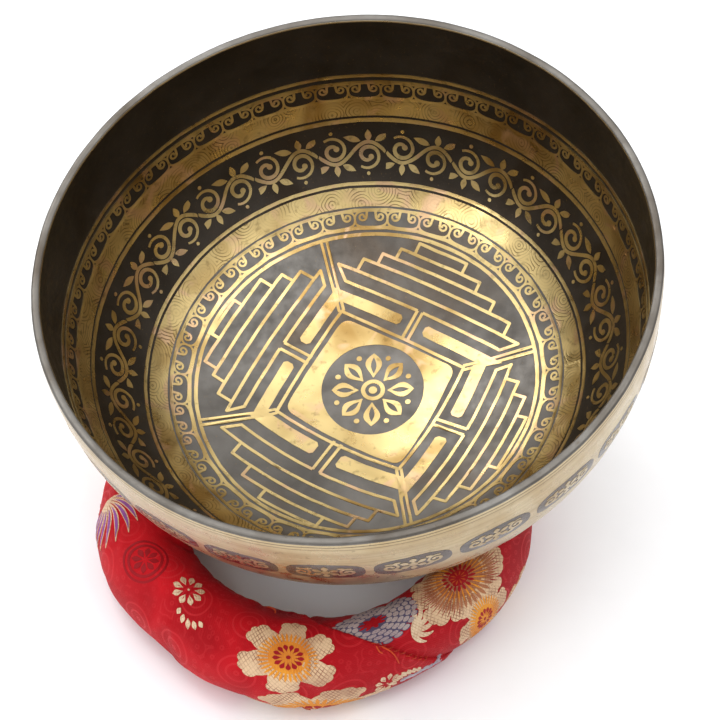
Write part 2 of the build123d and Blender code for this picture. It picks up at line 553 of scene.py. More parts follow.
def bowl_shell():
    """The hammered shell: inside, lip and outside in one closed skin."""
    turns, inner_rows, lip_rows, outer_rows = 384, 132, 15, 90
    theta = np.linspace(0, 2 * np.pi, turns, endpoint=False)
    s_end = S_RIM - LIP_HEIGHT
    rows, kinds = [], []
    for s in np.linspace(0, s_end, inner_rows)[1:]:
        rows.append(bowl_points(s, theta, 0.0))
        kinds.append(FLOOR_PATINA if s < WALL_GROUND_START else WALL_PATINA)
    first, last = rows[-1], bowl_points(s_end, theta, wall_at(s_end))
    middle, half = (first + last) / 2, (last - first) / 2
    up = bowl_points(s_end, theta, wall_at(s_end) / 2) - bowl_points(s_end - 1, theta, wall_at(s_end) / 2)
    for a in np.linspace(0, math.pi, lip_rows)[1:-1]:
        across = np.sign(np.cos(a)) * abs(np.cos(a)) ** LIP_SQUARENESS
        rows.append(middle - half * across + up * LIP_HEIGHT * math.sin(a) ** LIP_SQUARENESS)
        kinds.append(LIP_EDGE if a < WORN_EDGE else LIP)
    for s in np.linspace(s_end, 0, outer_rows)[:-1]:
        rows.append(bowl_points(s, theta, wall_at(s)))
        kinds.append(LIP if s > s_end - 0.5 else OUTSIDE)
    poles = [bowl_points(0.0, 0.0, out).reshape(1, 3) for out in (0.0, WALL)]
    points = np.concatenate([*rows, *poles])
    inner_pole, outer_pole = len(points) - 2, len(points) - 1
    after = np.roll(np.arange(turns), -1)
    faces = [(inner_pole, j, after[j]) for j in range(turns)]
    for i in range(len(rows) - 1):
        a, b = i * turns, (i + 1) * turns
        faces += [(a + j, b + j, b + after[j], a + after[j]) for j in range(turns)]
    faces += [(outer_pole, b + after[j], b + j) for j in range(turns)]
    indices = np.repeat([*kinds, OUTSIDE], turns).tolist()
    metals = [patina, lip_metal, outer_metal, patina_wall, lip_edge]
    made = new_object("bowl_metal", points, faces, metals, "bowl", indices=indices)
    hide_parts("bowl_shell")


# The gold stands RAISED over the metal, and its sides go down to SUNK.
RAISED, SUNK = 0.22, -0.25
WOBBLE, WOBBLE_SIZE = 0.22, 7.5
CURL_FOOT, CURL_CENTRE = np.array((1.9, 0.5)), np.array((4.1, -2.35))
CURL_RADIUS, CURL_LINE = 1.9, 0.95


def wobbled(s, theta):
    """Hand-cut lines wander a little."""
    x, y = s * np.cos(theta), s * np.sin(theta)
    shift = np.array([noise.noise_vector(Vector((a, b, 7.0)) / WOBBLE_SIZE) for a, b in zip(x, y)])
    return s + WOBBLE * shift[:, 0], theta + WOBBLE * shift[:, 1] / np.maximum(s, 8.0)


def placed_in_plan(flat, height):
    """Plan of the floor: the distance from the middle is the length along the wall."""
    s, theta = np.hypot(flat[:, 0], flat[:, 1]), np.arctan2(flat[:, 1], flat[:, 0])
    return bowl_points(*wobbled(s, theta), -height)


def placed_in_band(radius):
    """x is the length round the bowl at that radius, and y is s."""
    def place(flat, height):
        return bowl_points(*wobbled(flat[:, 1], flat[:, 0] / radius), -height)
    return place


def gold_piece(name, flat, tris, place, material=None, ring=None):
    made = plate(name, flat, tris, place, SUNK, RAISED, material or gold, "bowl", ring=ring)


def band(name, layers, s_middle, count, spacing=2.5, material=None):
    """A pattern repeated count times round the inside. Its unit spans x from 0 to the pitch."""
    radius = radius_at(s_middle)
    pitch = 2 * np.pi * radius / count
    flat, tris = paint(layers(pitch), spacing)
    flat, tris = in_a_row(flat, tris, pitch, count)
    gold_piece(name, flat, tris, placed_in_band(radius), material, ring=pitch * count)


def plain_ring(name, low, high, material=None):
    def layers(pitch):
        return [(True, [box(0, pitch, low, high)])]
    band(name, layers, (low + high) / 2, 90, 2.2, material)


def curl(top, side):
    """A curl that hangs from top: a leg, then a spiral over it and in, towards side."""
    spiral = points_on_arc((0, 0), (CURL_RADIUS, 0.42 * CURL_RADIUS), 190, 540, 26)
    leg = (CURL_FOOT - CURL_CENTRE, (-1.04 * CURL_RADIUS, 0.45 * CURL_RADIUS))
    line = (np.concatenate((leg, spiral)) + CURL_CENTRE) * (side, 1) + top
    return [ribbon(line, CURL_LINE * np.array((1.25, 1, 1, 1, 0.9))), disc(line[-1], CURL_LINE * 0.62, 10)]


def scroll_band(name, count, edge_low, cell_low, cell_high, edge_high):
    """A row of dark arched cells, each with two curls, between gold edges."""
    def layers(pitch):
        middle, height = (cell_low + cell_high) / 2, (cell_high - cell_low) / 2
        cell = swollen_box(pitch / 2 - 0.5, height, (pitch / 2, middle), 3.0)
        corners = []
        for x in (0.0, pitch):
            for y, way in ((cell_low + 0.1, 1), (cell_high - 0.1, -1)):
                tip = np.array(((-0.8, 0), (0.8, 0), (0, way * 1.15)))
                corners.append(clipped(tip + (x, y), pitch))
        curls = [loop for side in (-1, 1) for loop in curl((pitch / 2, cell_high), side)]
        return [(True, [box(0, pitch, edge_low, edge_high)]), (False, [cell, *corners]), (True, curls)]
    band(name, layers, (cell_low + cell_high) / 2, count, 2.0)


def vine_band(name, s_middle, count):
    """A running vine with curls, leaves and buds."""
    rise = 5.0

    def layers(pitch):
        xs = np.linspace(0, pitch, 25)
        wave = s_middle + rise * np.sin(2 * np.pi * xs / pitch)
        loops = [ribbon(np.stack((xs, wave), -1), 1.7)]
        for half, way in ((0.25, 1), (0.75, -1)):
            centre = np.array((pitch * half + 0.6, s_middle - way * 1.6))
            start = -way * 180
            spiral = points_on_arc(centre, (6.4, 1.7), start + way * 125, start - way * 330, 36)
            loops += [ribbon(spiral, (1.1, 1.9, 1.6)), disc(spiral[-1], 1.35)]
            crest = np.array((pitch * half, s_middle + way * (rise + 0.4)))
            for turn, length in ((18, 8.0), (90, 5.5), (150, 7.0)):
                loops.append(petal(crest + (0.05 * (90 - turn), 0), way * turn, length, 3.0, 0.45))
            loops.append(disc(centre + (0, -way * 8.6), 0.9, 10))
        return [(True, [clipped(loop, pitch) for loop in loops])]
    band(name, layers, s_middle, count, 2.4)


# ---- the mandala on the floor
PLATE_CORNERS = ((39.5, 9.0), (-12.0, 36.5), (-37.0, -11.0), (15.5, -40.5))
BORDER_CORNERS = ((43.5, 8.5), (-13.5, 40.0), (-40.5, -12.5), (15.5, -42.5))
RAY_ENDS = ((75.5, 12.5), (-22.5, 73.5), (-73.5, -23.5), (21.4, -73.1))
DISC_CENTRE, DISC_RADIUS = np.array((2.2, 0.0)), 23.3
LINE, BOW = 1.45, 0.0016

# Each quarter: the direction that it faces, the bars' low and high edge and inner ends, the two upright
# lines, the first step's foot, and the steps from the widest to the top. A foot and a step are
# (height, left, right).
QUARTERS = (
    dict(faces=61.9, bars=(34.8, 40.1, -3.7, 8.3), uprights=(0.9, 3.6), foot=(44.9, -36.5, 46.0),
         steps=((51.5, -43.5, 53.0), (58.2, -34.0, 44.5), (63.7, -27.0, 32.8), (69.0, -20.3, 22.0),
                (74.5, -13.3, 12.0))),
    dict(faces=152.5, bars=(35.3, 40.6, -5.0, 7.0), uprights=(-1.3, 2.3), foot=(45.5, -36.0, 36.5),
         steps=((51.5, -42.5, 42.0), (58.8, -37.0, 37.0), (65.0, -30.3, 31.0), (71.5, -26.5, 23.5),
                (75.8, -12.7, 7.7))),
    dict(faces=240.8, bars=(34.8, 41.8, -8.3, 3.7), uprights=(-5.0, -1.2), foot=(48.3, -42.0, 38.0),
         steps=((55.7, -48.0, 44.0), (62.8, -38.3, 32.5), (69.3, -32.3, 22.3), (75.0, -20.3, 9.3))),
    dict(faces=333.0, bars=(40.0, 45.8, -3.5, 8.3), uprights=(0.7, 3.8), foot=(51.3, -31.0, 44.0),
         steps=((57.4, -35.5, 50.0), (63.9, -28.5, 39.0), (70.0, -22.3, 29.3), (75.0, -12.7, 15.3))),
)


def bowed(a, b, rise, count=9):
    """Points from a to b on a line that swells away from the middle by rise."""
    a, b = np.asarray(a, float), np.asarray(b, float)
    t = np.linspace(0, 1, count)[:, None]
    out = np.array((b[1] - a[1], a[0] - b[0])) / np.linalg.norm(b - a)
    if np.dot(out, (a + b) / 2) < 0:
        out = -out
    return a + (b - a) * t + out * rise * 4 * t * (1 - t)


def quarter_shapes(index, quarter):
    """Gold shapes of one quarter, in plan."""
    turn = math.radians(quarter["faces"])
    outward = np.array((math.cos(turn), math.sin(turn)))
    axes = np.array(((outward[1], -outward[0]), outward))
    ends = [(axes @ BORDER_CORNERS[i], axes @ RAY_ENDS[i]) for i in ((index + 1) % 4, index)]

    def ray_u(side, v, inset):
        (u0, v0), (u1, v1) = ends[side]
        slope = (u1 - u0) / (v1 - v0)
        return u0 + slope * (v - v0) + (1, -1)[side] * inset * math.hypot(1, slope)

    def level(height, left, right, count=17):
        u = np.linspace(left, right, count)
        return np.stack((u, height - BOW * u * u), -1)

    shapes = []
    low, high, left_end, right_end = quarter["bars"]
    for side, inner in ((0, left_end), (1, right_end)):
        way = (1, -1)[side]
        bottom = level(low, ray_u(side, low, 0.7), inner, 9)
        top = level(high, inner, ray_u(side, high, 0.7), 9)
        corner = 1.3
        bottom[-1, 0] -= way * corner
        top[0, 0] -= way * corner
        nose = np.array(((inner, low + corner), (inner, high - corner)))
        shapes.append(np.concatenate((bottom, nose, top)))
    foot_height, foot_left, foot_right = quarter["foot"]
    first_height, first_left, first_right = quarter["steps"][0]
    uprights = quarter["uprights"]
    for u in uprights:
        shapes += stroke(((u, low - 4.5), (u, foot_height)), LINE)
    for left, right in ((foot_left, uprights[0]), (uprights[1], foot_right)):
        shapes += stroke(level(foot_height, left, right), LINE)
    for foot, tip in ((foot_left, first_left), (foot_right, first_right)):
        slope = [level(height, u, u, 1)[0] for height, u in ((foot_height, foot), (first_height, tip))]
        shapes += [*stroke(slope, LINE), *(disc(end, LINE / 2) for end in slope)]
    below = first_height
    for height, left, right in quarter["steps"]:
        shapes += stroke(level(height, left, right), LINE)
        if height > first_height:
            for u in (left, right):
                top, base = height - BOW * u * u, below - BOW * u * u
                shapes += stroke(((u, base), (u, top)), LINE)
                shapes.append(disc((u, top), LINE / 2))
        below = height
    return [shape @ axes for shape in shapes]


def rosette_layers():
    """A flower of two rings of petals for the disc in the middle."""
    c = DISC_CENTRE
    turns = range(0, 360, 45)
    outer = [petal(c + on_ring(6.2, a), a, 12.6, 7.6, 0.58) for a in turns]
    veins = [petal(c + on_ring(8.6, a), a, 8.0, 2.5, 0.5) for a in turns]
    dots = [disc(c + on_ring(17.4, a + 22.5), 1.25) for a in turns]
    return [(True, [*outer, *dots]), (False, [*veins, disc(c, 6.6, 28)]), (True, [disc(c, 5.4, 28)]),
            (False, [disc(c, 3.5, 24)]), (True, [disc(c, 1.9, 16)])]


def mandala():
    """Square plate, border, rays and stepped quarters."""
    sides = [bowed(PLATE_CORNERS[i], PLATE_CORNERS[(i + 1) % 4], 1.2, 25) for i in range(4)]
    t = np.linspace(0, 1, 7)[1:-1, None]
    outline, shapes = [], []
    for i, side in enumerate(sides):
        after = (i + 1) % 4
        from_side, to_side = (1 - t) ** 2 * side[-3], t ** 2 * sides[after][2]
        outline += [side[2:-2], from_side + 2 * t * (1 - t) * np.array(PLATE_CORNERS[after]) + to_side]
        shapes += stroke(bowed(BORDER_CORNERS[i], BORDER_CORNERS[after], 1.4), LINE)
        shapes.append(disc(BORDER_CORNERS[i], LINE / 2))
    shapes.append(np.concatenate(outline))
    for start, end in zip(np.array(BORDER_CORNERS), np.array(RAY_ENDS)):
        way = (end - start) / np.linalg.norm(end - start)
        side = np.array((-way[1], way[0])) * 1.35
        for sign in (-1, 1):
            shapes.append(ribbon((start + sign * side * 0.75, end + sign * side + way), LINE * 0.95))
    for i, quarter in enumerate(QUARTERS):
        shapes += quarter_shapes(i, quarter)
    layers = [(True, shapes), (False, [disc(DISC_CENTRE, DISC_RADIUS, 60)]), *rosette_layers()]
    flat, tris = paint(layers, 2.6)
    gold_piece("inlay_mandala", flat, tris, placed_in_plan)


bowl_shell()
mandala()
plain_ring("inlay_ring_floor", 76.8, 78.5)
scroll_band("inlay_scroll_inner", 34, 80.0, 81.5, 88.3, 90.0)
plain_ring("inlay_band_inner", 90.8, 99.6, gold_engraved)
plain_ring("inlay_line_inner", 100.8, 102.4)
vine_band("inlay_vine", 116.4, 21)
plain_ring("inlay_line_outer", 131.2, 133.2)
plain_ring("inlay_band_outer", 134.4, 142.6, gold_engraved)
scroll_band("inlay_scroll_outer", 50, 142.6, 143.9, 151.0, 153.0)
plain_ring("inlay_line_top", 155.0, 156.6)


# ======== the outside of the bowl
OUTER_BAND = (160.0, 174.8)
CARTOUCHES, CARTOUCHE_TURN = 24, math.radians(6.0)


def placed_outside(radius):
    """x is the length round the bowl at that radius, and y is s, on the outer side."""
    def place(flat, height):
        s, theta = wobbled(flat[:, 1], flat[:, 0] / radius)
        return bowl_points(s, CARTOUCHE_TURN - theta, wall_at(s) + height)
    return place


def outer_pattern(name, layers, material, height):
    """A pattern repeated round the outside of the bowl."""
    s_middle = sum(OUTER_BAND) / 2
    radius = radius_at(s_middle) + WALL
    pitch = 2 * np.pi * radius / CARTOUCHES
    flat, tris = in_a_row(*paint(layers(pitch), 2.4), pitch, CARTOUCHES)
    made = plate(name, flat, tris, placed_outside(radius), SUNK, height, material, "bowl",
                 ring=pitch * CARTOUCHES)


def cartouche_panels(pitch):
    """Dark rounded panels."""
    middle = sum(OUTER_BAND) / 2
    half = (OUTER_BAND[1] - OUTER_BAND[0]) / 2
    return [(True, [swollen_box(pitch / 2 - 1.5, half, (pitch / 2, middle), 2.8)])]


def cartouche_motifs(pitch):
    """A flower between two curls and leaves, in each panel."""
    centre = np.array((pitch / 2, sum(OUTER_BAND) / 2))
    shapes = [disc((0, 0), 1.7), *rays(6, 1.2, 5.6, 2.6, 30)]
    for side in (-1, 1):
        spiral = points_on_arc((0, 0), (3.5, 0.9), 60, 520, 30) * (side, 1) + (side * 8.6, 0.2)
        shapes += [ribbon(spiral, (0.9, 1.4, 1.1)), disc(spiral[-1], 0.8, 10)]
        shapes.append(petal((side * 4.3, -4.0), 90 - side * 62, 4.6, 1.9, 0.5))
        shapes.append(petal((side * 4.5, 4.4), -90 + side * 68, 3.8, 1.8, 0.5))
    return [(True, [shape + centre for shape in shapes])]


outer_pattern("etched_panels", cartouche_panels, outer_dark, 0.05)
outer_pattern("etched_panel_motifs", cartouche_motifs, outer_metal, 0.16)


# ======== the cushion's shape
PHI_START, PSI_START = 90.0, -90.0
LAP_AT_SIDE, LAP_SLANT = -56.0, -0.25
LAP_FROM, LAP_TO = -48.0, 196.0
LAP_WIDTH, LAP_RISE, LAP_FOLD = 22.0, 0.85, 0.45
JOIN_GROOVE, JOIN_GROOVE_WIDTH = 1.5, 5.5
LOOSE_ENDS = (((-70.4, 55), (-66.0, 24), 0.6), ((-71.5, 57), (-70.2, 46), -0.3),
              ((-108, 152), (-103, 133), 1.2))
LUMP_DEPTH, LUMP_SIZE = 0.9, 21.0
PUCKERS, PUCKER_DEPTH = 31, 0.75
GATHER_FROM, GATHER_TO = 112, 262
STITCHES_FROM, STITCHES_TO, STITCH_COUNT = 62, 8, 9
SEAM_PSI, SEAM_COUNT, SEAM_STITCH, HOLE_RADIUS = 205.0, 72, 3.6, 59.0

# The stuffing is uneven: how far the ring's outer side stands out (mm) at each turn phi.
OUTLINE = ((-180, -0.8), (-160, 0.7), (-140, -1.4), (-130, -1.5), (-118, 0.6), (-90, 1.2), (-74, -0.8),
           (-58, -3.2), (-42, -3.4), (-28, -0.8), (-10, 1.2), (20, 0.0), (60, -1.5), (100, 0.8),
           (140, -1.0), (180, -0.8))

# The grid's turns phi down the rows and angles psi along them.
GRID_PHI = PHI_START + 360 * np.arange(PHI_STEPS)[:, None] / PHI_STEPS
GRID_PSI = PSI_START + 360 * np.arange(PSI_STEPS)[None, :] / PSI_STEPS

# A distance along the ring, times this, is the distance from the lap's slanted edge.
EDGE_FACTOR = 0.94

CLOTH_RUN = dict(quality=4, mass=0.2, tension_stiffness=12, compression_stiffness=12,
                 bending_stiffness=0.25, use_pressure=True, uniform_pressure_force=4.0,
                 vertex_group_shrink="slack", shrink_min=-0.02, shrink_max=-0.16)
CLOTH_STEPS = 22


def ring_radius(psi):
    """Distance of the tube's skin from the ring's axis at psi."""
    return RING_RADIUS + TUBE_HALF_WIDTH * np.cos(np.radians(psi))


def lap_edge(psi):
    """The turn phi of the lap's edge at psi."""
    return LAP_AT_SIDE + LAP_SLANT * psi


def tube_grid(grow):
    """The tube's points, (phi steps, psi steps, 3), with its skin moved out by grow."""
    phi, psi = np.radians(GRID_PHI), np.radians(GRID_PSI)
    turns = (GRID_PHI + 180) % 360 - 180
    uneven = np.interp(turns, *np.array(OUTLINE).T) * (0.5 + 0.5 * np.cos(psi))
    r = RING_RADIUS + (TUBE_HALF_WIDTH + grow) * np.cos(psi) + uneven
    z = TUBE_CENTRE + (TUBE_HALF_HEIGHT + grow) * np.sin(psi)
    return np.stack((r * np.cos(phi), r * np.sin(phi), z + 0 * phi), -1) + ring_middle


def clear_of_bowl(points, gap):
    """The points, with those nearer to the bowl than gap moved straight away from it."""
    local = (points - rim_centre) @ BOWL_AXES.T
    r, h = np.hypot(local[..., 0], local[..., 1]), local[..., 2]
    angle = [np.arctan2(r - c[0], c[1] - h) for c in OUTER_CENTRES]
    i = np.where(angle[0] < ARC_ENDS[0], 0, np.where(angle[1] < ARC_ENDS[1], 1, 2))
    away_r, away_h = r - OUTER_CENTRES[i][..., 0], h - OUTER_CENTRES[i][..., 1]
    length = np.hypot(away_r, away_h)
    push = np.maximum(OUTER_RADII[i] + gap, length) / length
    new_r = OUTER_CENTRES[i][..., 0] + away_r * push
    new_h = OUTER_CENTRES[i][..., 1] + away_h * push
    moved = np.stack((local[..., 0] / r * new_r, local[..., 1] / r * new_r, new_h), -1)
    return rim_centre + moved @ BOWL_AXES


def settled(points):
    """The points kept out of the bowl and over the floor."""
    points = clear_of_bowl(points, BOWL_GAP)
    points[..., 2] = np.maximum(points[..., 2], 0.05)
    return points


def grid_corners():
    """Row and column of the four corners of each face."""
    i, j = np.indices((PHI_STEPS, PSI_STEPS)).reshape(2, -1, 1)
    return i + (0, 1, 1, 0), j + (0, 0, 1, 1)


def grid_faces():
    i, j = grid_corners()
    return i % PHI_STEPS * PSI_STEPS + j % PSI_STEPS


def pillowed():
    """The cover's points once the stuffing has pushed the cloth out, with more cloth on the hole's side."""
    start = settled(tube_grid(-1.0))
    blank = bpy.data.materials.new("cloth_blank")
    cloth = new_object("cloth_run", start.reshape(-1, 3), grid_faces(), [blank], None)
    slack = np.clip(0.5 - 0.5 * np.cos(np.radians(GRID_PSI[0])) - 0.15, 0, 1)
    group = cloth.vertex_groups.new(name="slack")
    for j in range(PSI_STEPS):
        group.add([i * PSI_STEPS + j for i in range(PHI_STEPS)], float(slack[j]), "REPLACE")
    modifier = cloth.modifiers.new("cloth", "CLOTH")
    for key, value in CLOTH_RUN.items():
        setattr(modifier.settings, key, value)
    modifier.settings.effector_weights.gravity = 0
    modifier.point_cache.frame_end = CLOTH_STEPS + 2
    scene = bpy.context.scene
    for step in range(1, CLOTH_STEPS + 1):
        scene.frame_set(step)
    result = cloth.evaluated_get(bpy.context.evaluated_depsgraph_get()).data
    out = np.zeros(len(result.vertices) * 3, np.float32)
    result.vertices.foreach_get("co", out)
    scene.frame_set(1)
    bpy.data.objects.remove(cloth)
    bpy.data.materials.remove(blank)
    return out.reshape(PHI_STEPS, PSI_STEPS, 3) / MM


def join_distance(phi, psi):
    """Millimetres to the right of the lap's edge, and how far along the lap's reach, both as arrays."""
    turn = np.mod(phi - lap_edge(psi) + 180, 360) - 180
    inside = (psi > LAP_FROM) & (psi < LAP_TO)
    fade = np.clip(np.minimum(psi - LAP_FROM, LAP_TO - psi) / 18, 0, 1)
    return np.radians(turn) * ring_radius(psi) * EDGE_FACTOR, fade * inside


def normals_of(grid):
    along = np.roll(grid, -1, 0) - np.roll(grid, 1, 0)
    around = np.roll(grid, -1, 1) - np.roll(grid, 1, 1)
    normal = np.cross(along, around)
    return normal / np.linalg.norm(normal, axis=-1, keepdims=True)


def unevenness(grid, phi, psi):
    """Lumps in the stuffing, and puckers where the cloth is gathered towards the hole."""
    lumps = np.array([noise.noise(Vector(p) / LUMP_SIZE) for p in grid.reshape(-1, 3)]).reshape(phi.shape)

    def round_the_ring(level, rate):
        places = [Vector((math.cos(a), math.sin(a), level)) * rate for a in np.radians(phi[:, 0])]
        return np.array([noise.noise(place) for place in places])[:, None]
    drift, strength = round_the_ring(3.0, 2.5), round_the_ring(8.0, 5.0)
    psi = np.mod(psi, 360)
    gather = np.clip((psi - GATHER_FROM) / 60, 0, 1) * np.clip((GATHER_TO - psi) / 40, 0, 1)
    folds = np.sin(np.radians(phi) * PUCKERS + 9 * drift + 0.5 * np.sin(np.radians(psi) * 2))
    puckers = gather * (0.55 + strength) * np.maximum(folds, -0.2) ** 2
    return LUMP_DEPTH * lumps - PUCKER_DEPTH * puckers


def cushion_grid():
    """The finished cover's points."""
    grid = plain = settled(tube_grid(0.0))
    grid = pillowed()
    move = grid - plain
    length = np.linalg.norm(move, axis=-1, keepdims=True)
    grid = plain + move * np.minimum(1, PILLOW_CAP / np.maximum(length, 1e-6))
    phi, psi = np.broadcast_arrays(GRID_PHI, GRID_PSI)
    distance, fade = join_distance(phi, psi)
    groove = JOIN_GROOVE * np.exp(-(distance / JOIN_GROOVE_WIDTH) ** 2) * np.where(distance > -1, 1, 0.35)
    return settled(grid + normals_of(grid) * (unevenness(grid, phi, psi) - groove * fade)[..., None])


COVER = cushion_grid()
COVER_NORMALS = normals_of(COVER)


def lap_height(phi, psi):
    """Thickness of the lapped end over the cover."""
    distance, fade = join_distance(phi, psi)
    back = np.clip((distance + LAP_WIDTH) / LAP_WIDTH, 0, 1)
    fold = np.exp(-((distance + 1.6) / 1.6) ** 2)
    return np.where(distance < 0, (LAP_RISE * back ** 1.5 + LAP_FOLD * fold) * fade, 0)


def on_cushion(phi, psi, up, over_lap=False):
    """Points on the cover, up over its skin."""
    phi, psi, up = np.broadcast_arrays(*(np.asarray(v, float) for v in (phi, psi, up)))
    a = np.mod(phi - PHI_START, 360) / 360 * PHI_STEPS
    b = np.mod(psi - PSI_START, 360) / 360 * PSI_STEPS
    i, j = np.floor(a).astype(int), np.floor(b).astype(int)
    fa, fb = (a - i)[..., None], (b - j)[..., None]
    if over_lap:
        up = up + lap_height(phi, psi)

    def mixed(grid):
        def at(di, dj):
            return grid[(i + di) % PHI_STEPS, (j + dj) % PSI_STEPS]
        low = at(0, 0) * (1 - fa) + at(1, 0) * fa
        return low * (1 - fb) + (at(0, 1) * (1 - fa) + at(1, 1) * fa) * fb
    return mixed(COVER) + mixed(COVER_NORMALS) * up[..., None]


# ======== cloth and thread materials
CLOTH_RED, CLOTH_LIGHT, CLOTH_DEEP = (0.64, 0.006, 0.014), (0.68, 0.030, 0.038), (0.27, 0.001, 0.005)
MM_ACROSS = RING_RADIUS + TUBE_HALF_WIDTH * 0.6
MM_AROUND = 19.0
RING_CELL, CURL_CELL = 25.0, 5.2


def ripples(shader, x, y, pitch, slant=0.0):
    """A sine wave across x, with y slanted into it."""
    return shader.sine((x + y * slant) * (2 * math.pi / pitch))


def brocade_material():
    """Red satin with a tone-on-tone woven pattern of ringed blossoms, and a fine weave, darkened by painted
    shade in cloudy patches and to the right of the lap's join.
    """
    shader = Shader("brocade_red", CLOTH_RED, 0.5, Sheen_Weight=0.02, Sheen_Roughness=0.4,
                    Specular_IOR_Level=0.13)
    uv, x, y = shader.flat_place()
    distance = shader.cells(uv, RING_CELL, 0.35) * RING_CELL
    rings = shader.ramp(shader.sine(distance * 1.9), ((0.55, 0), (0.80, 1)))
    near = shader.ramp(distance / 20.0, ((0.46, 1), (0.54, 0)))
    curls = shader.sine(shader.cells(uv, CURL_CELL, 0.9) * 11.0)
    swirl = shader.ramp(curls, ((0.60, 0), (0.85, 0.6)))
    pattern = shader.math("MINIMUM", rings * near + swirl * (1.0 - near), 1.0)
    soft = shader.spots(60, 3, (0.35, 0.45), (0.7, 1))
    pattern = pattern * soft
    # Painted shade: the red deepens in cloudy patches, standing in for the satin's shading.
    shade = shader.spots(24, 3, (0.36, 1), (0.62, 0), distortion=0.5)
    colour = shader.mix(shade * 0.7, CLOTH_RED, CLOTH_DEEP)
    # Painted shade: the red turns deeper over the stretch of ring to the right of the lap's join.
    turn = (x / MM_ACROSS - 4.0) * 0.25
    painted_shade_right_of_join = shader.ramp(turn, ((0.10, 0), (0.22, 1), (0.60, 1), (0.85, 0)))
    colour = shader.mix(painted_shade_right_of_join * 0.62, colour, CLOTH_DEEP)
    colour = shader.mix(pattern * 0.55, colour, CLOTH_LIGHT)
    warp = ripples(shader, x, y, 0.5)
    weft = ripples(shader, y, x, 0.42)
    twill = ripples(shader, x, y, 1.1, 1.0)
    weave = warp * weft
    colour = shader.mix(shader.ramp(weave, ((0.0, 1), (0.5, 0))) * 0.16, colour, CLOTH_DEEP)
    rough = 0.58 - pattern * 0.14
    height = weave + twill * 0.5 + pattern * 1.6
    return shader.finished(colour, rough, height, 0.5, 1.2 * BUMP)


def thread_material(name, colour, dark, pitch=1.5, slant=0.9, depth=0.75):
    """Silk floss held down by thin dark threads that cross on the slant, with fine ribs."""
    shader = Shader(name, colour, 0.5, Sheen_Weight=0.02, Specular_IOR_Level=0.15)
    _, x, y = shader.flat_place()
    one_way = shader.ramp(ripples(shader, x, y, pitch, slant), ((0.62, 0), (0.95, 1)))
    other_way = shader.ramp(ripples(shader, x, y, pitch * 1.25, -slant * 0.8), ((0.62, 0), (0.95, 0.8)))
    lines = shader.math("MAXIMUM", one_way, other_way)
    cloud = shader.spots(220, 3, (0.38, 0.35), (0.62, 1))
    lines = lines * cloud * depth
    ribs = shader.ramp(ripples(shader, x, y, 0.42, -0.3), ((0.0, 0.25), (0.6, 0)))
    worn = shader.spots(75, 3, (0.42, 0), (0.70, 0.45))
    mixed = shader.mix(worn, colour, dark)
    mixed = shader.mix(shader.math("MAXIMUM", lines, ribs), mixed, dark)
    return shader.finished(mixed, 0.5, 1.0 - lines, 0.7, 2 * BUMP)


# Each silk: its colour, its dark threads' colour, then their pitch, slant and depth.
SILKS = dict(
    cream=((0.80, 0.58, 0.36), (0.20, 0.035, 0.015), 1.7, 0.9, 0.95),
    ivory=((0.82, 0.66, 0.44), (0.30, 0.06, 0.025), 1.5),
    # rose is the chrysanthemum's tan middle, made darker with painted shade.
    rose=((0.48, 0.20, 0.09), (0.18, 0.02, 0.01), 1.2),
    gold=((0.80, 0.35, 0.03), (0.46, 0.05, 0.01), 1.0, 0.3, 0.5),
    orange=((0.56, 0.10, 0.015), (0.30, 0.01, 0.005), 0.9, 0.3, 0.5),
    slate=((0.10, 0.085, 0.15), (0.05, 0.03, 0.07), 1.0, 0.3, 0.5),
    grey=((0.46, 0.38, 0.36), (0.17, 0.10, 0.14), 1.1),
    silver=((0.50, 0.46, 0.48), (0.20, 0.13, 0.22), 1.0),
    purple=((0.32, 0.09, 0.36), (0.10, 0.02, 0.10), 1.0, 0.3, 0.5),
    crimson=((0.38, 0.004, 0.010), (0.20, 0.002, 0.006), 0.8, 0.3, 0.3),
    damask=((0.33, 0.004, 0.010), (0.20, 0.002, 0.006), 0.8, 0.3, 0.3),
)

brocade = brocade_material()
silk = {colour: thread_material("silk_" + colour, *look) for colour, look in SILKS.items()}
sewing_thread = thread_material("thread_orange", (0.72, 0.09, 0.02), (0.40, 0.03, 0.01), 0.5, 0.6, 0.4)
stitch_thread = thread_material("thread_dark_orange", (0.62, 0.05, 0.02), (0.22, 0.01, 0.006), 0.5, 0.6,
                                0.4)
seam_thread = thread_material("thread_red", (0.36, 0.008, 0.016), (0.20, 0.004, 0.010), 0.5, 0.6, 0.4)


# ======== the cover, its lap and its stitches
def cushion_cover():
    """The stuffed tube, closed on itself."""
    made = new_object("cushion_cover_cloth", COVER.reshape(-1, 3), grid_faces(), [brocade], None)
    i, j = grid_corners()
    x = np.radians(PHI_START + 360 * i / PHI_STEPS) * MM_ACROSS
    y = np.radians(PSI_START + 360 * j / PSI_STEPS) * MM_AROUND
    layer = made.data.uv_layers.new(name="flat")
    layer.data.foreach_set("uv", np.stack((x, y), -1).astype(np.float32).ravel())
    smooth = made.modifiers.new("smooth", "SUBSURF")
    smooth.levels = smooth.render_levels = 1
    bpy.context.view_layer.update()
    final = bpy.data.meshes.new_from_object(made.evaluated_get(bpy.context.evaluated_depsgraph_get()))
    made.modifiers.clear()
    made.data = final
    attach(made, "cushion")
    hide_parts("cushion_cover", "cushion_stuffing")


def across_join(psi, distance):
    """The turn phi of a place distance to the right of the lap's edge."""
    return lap_edge(psi) + np.degrees(np.asarray(distance) / ring_radius(psi)) / EDGE_FACTOR


def cloth_uv(phi, psi):
    """The place on the flat brocade, in millimetres."""
    turn = np.mod(phi - PHI_START, 360) + PHI_START
    return np.stack((np.radians(turn) * MM_ACROSS, np.radians(psi) * MM_AROUND), -1)


